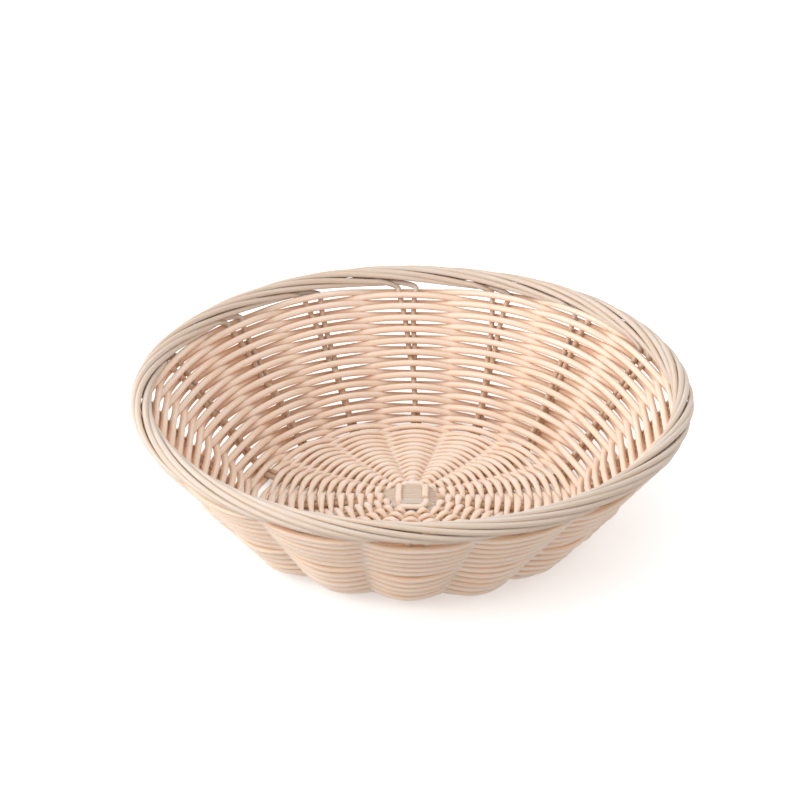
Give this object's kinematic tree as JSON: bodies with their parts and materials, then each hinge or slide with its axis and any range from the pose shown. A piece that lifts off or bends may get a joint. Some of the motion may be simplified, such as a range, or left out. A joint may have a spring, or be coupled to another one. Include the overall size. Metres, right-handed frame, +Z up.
{
  "type": "bread basket",
  "caption": "Round, shallow woven bread basket with a flared wall, a flat woven base and a rolled rope border; it stands on a table and holds bread or rolls.",
  "frame": {"origin": "on the table, under the middle of the base", "axes": "+Z up, out of the bowl; +X and +Y along the two bundles of stake cords that cross in the base"},
  "size_m": [0.2494, 0.2494, 0.0665],
  "materials": {
    "stake_cord": "satin cord with fine lengthwise grain",
    "wall_cord": "satin cord with fine lengthwise grain",
    "base_cord": "satin cord, pulled flat, with fine lengthwise grain"
  },
  "bodies": {
    "root": {"stake_cord_01": "stake_cord", "stake_cord_02": "stake_cord", "stake_cord_03": "stake_cord", "stake_cord_04": "stake_cord", "stake_cord_05": "stake_cord", "stake_cord_06": "stake_cord", "stake_cord_07": "stake_cord", "stake_cord_08": "stake_cord", "stake_cord_09": "stake_cord", "stake_cord_10": "stake_cord", "stake_cord_11": "stake_cord", "stake_cord_12": "stake_cord", "stake_cord_13": "stake_cord", "stake_cord_14": "stake_cord", "stake_cord_15": "stake_cord", "stake_cord_16": "stake_cord", "centre_binding": "stake_cord", "base_weaver_a": "base_cord", "base_weaver_b": "base_cord", "wall_weaver_a": "wall_cord", "wall_weaver_b": "wall_cord"}
  },
  "joints": []
}
